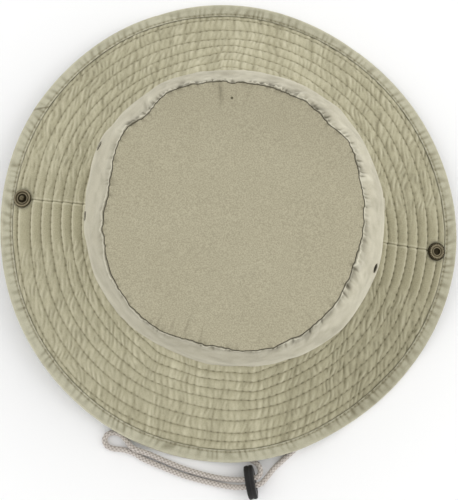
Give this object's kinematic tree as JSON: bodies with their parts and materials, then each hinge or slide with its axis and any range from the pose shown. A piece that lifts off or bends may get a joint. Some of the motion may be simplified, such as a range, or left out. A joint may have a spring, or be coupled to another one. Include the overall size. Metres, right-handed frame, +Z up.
{
  "type": "safari hat",
  "caption": "Soft cotton boonie hat with a wide row-stitched brim, a low round crown with vents, side snaps and a chin cord with a lock.",
  "frame": {"origin": "centre of the brim's outline, on the floor that the hat rests on", "axes": "+Z up; +X through the snap of the right-hand side; -Y is the end where the chin cord comes out from under the brim"},
  "size_m": [0.3226, 0.3532, 0.1163],
  "materials": {
    "tip_cotton": "washed khaki twill, matte",
    "side_cotton": "washed khaki twill, matte",
    "brim_cotton": "washed khaki twill, row-stitched, matte",
    "binding_tape": "woven cotton tape, puckered, matte",
    "thread": "cotton thread",
    "aged_brass": "antique, worn bright on the rings",
    "cord_cotton": "braided undyed cotton",
    "black_plastic": "moulded black plastic, satin"
  },
  "bodies": {
    "root": {"crown_top": "tip_cotton", "crown_side_left": "side_cotton", "crown_side_right": "side_cotton", "brim_front": "brim_cotton", "brim_back": "brim_cotton", "brim_binding": "binding_tape", "vent_left_front": "thread", "vent_left_back": "thread", "vent_right_front": "thread", "vent_right_back": "thread", "snap_left": "aged_brass", "snap_right": "aged_brass", "chin_cord": "cord_cotton", "cord_toggle": "black_plastic"}
  },
  "joints": []
}
